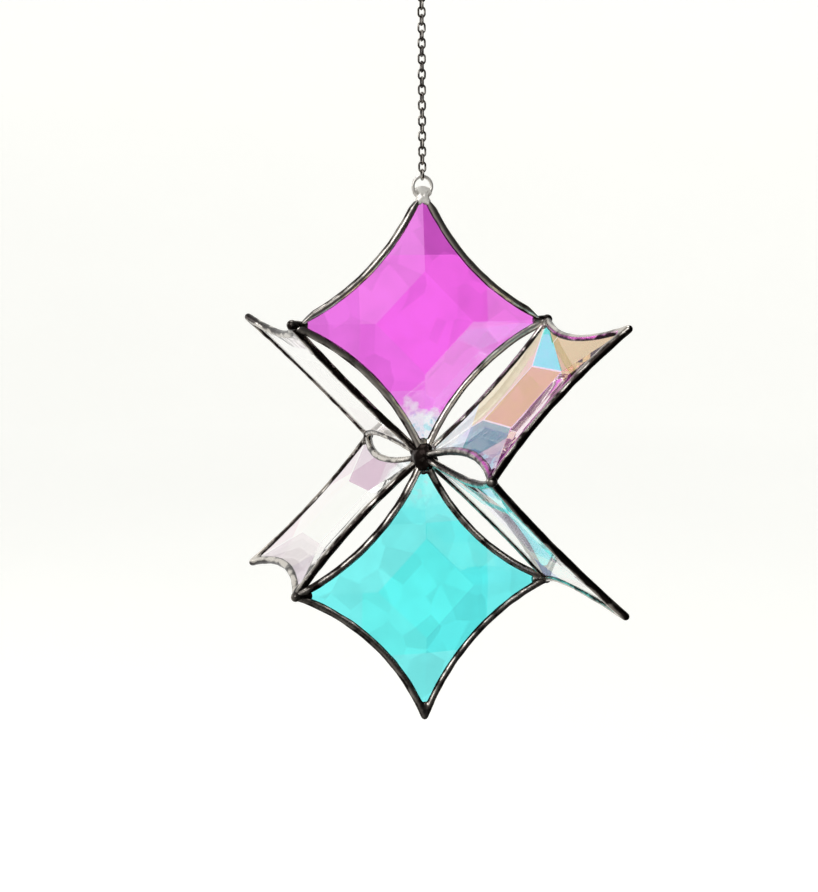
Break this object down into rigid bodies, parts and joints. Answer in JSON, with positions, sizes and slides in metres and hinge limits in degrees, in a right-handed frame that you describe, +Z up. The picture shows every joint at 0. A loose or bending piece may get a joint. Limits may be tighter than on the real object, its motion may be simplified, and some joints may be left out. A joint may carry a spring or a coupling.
{
  "type": "stained glass suncatcher",
  "caption": "Hanging star of concave four-pointed bevelled glass panels in soldered frames, joined tip to tip round one centre, on a fine chain with a ring at its top.",
  "frame": {"origin": "the inside of the top of the hanging ring, where a hook or nail carries it", "axes": "+Z up along the chain; the top and bottom panels lie in the X-Z plane, with their table sides facing -Y"},
  "size_m": [0.0966, 0.1346, 0.2729],
  "materials": {
    "glass_magenta": "clear glass tinted magenta, glossy",
    "glass_aqua": "clear glass tinted aqua, glossy",
    "glass_clear": "clear glass with a faint iridescent coat",
    "solder": "dark patinated solder, semi-gloss",
    "ring_wire": "bright plated wire",
    "chain_wire": "plated steel wire"
  },
  "bodies": {
    "root": {"glass_magenta_top": "glass_magenta", "glass_aqua_bottom": "glass_aqua", "glass_clear_upper_left": "glass_clear", "glass_clear_upper_right": "glass_clear", "glass_clear_lower_left": "glass_clear", "glass_clear_lower_right": "glass_clear", "frame_top": "solder", "frame_bottom": "solder", "frame_upper_left": "solder", "frame_upper_right": "solder", "frame_lower_left": "solder", "frame_lower_right": "solder", "solder_center": "solder", "solder_upper_left": "solder", "solder_upper_right": "solder", "solder_lower_left": "solder", "solder_lower_right": "solder", "solder_rear": "solder", "solder_front": "solder", "solder_top": "solder", "jump_ring": "ring_wire", "hanging_ring": "ring_wire", "chain_link_01": "chain_wire", "chain_link_02": "chain_wire", "chain_link_03": "chain_wire", "chain_link_04": "chain_wire", "chain_link_05": "chain_wire", "chain_link_06": "chain_wire", "chain_link_07": "chain_wire", "chain_link_08": "chain_wire", "chain_link_09": "chain_wire", "chain_link_10": "chain_wire", "chain_link_11": "chain_wire", "chain_link_12": "chain_wire", "chain_link_13": "chain_wire", "chain_link_14": "chain_wire", "chain_link_15": "chain_wire", "chain_link_16": "chain_wire", "chain_link_17": "chain_wire", "chain_link_18": "chain_wire", "chain_link_19": "chain_wire", "chain_link_20": "chain_wire", "chain_link_21": "chain_wire", "chain_link_22": "chain_wire", "chain_link_23": "chain_wire", "chain_link_24": "chain_wire", "chain_link_25": "chain_wire", "chain_link_26": "chain_wire", "chain_link_27": "chain_wire"}
  },
  "joints": []
}
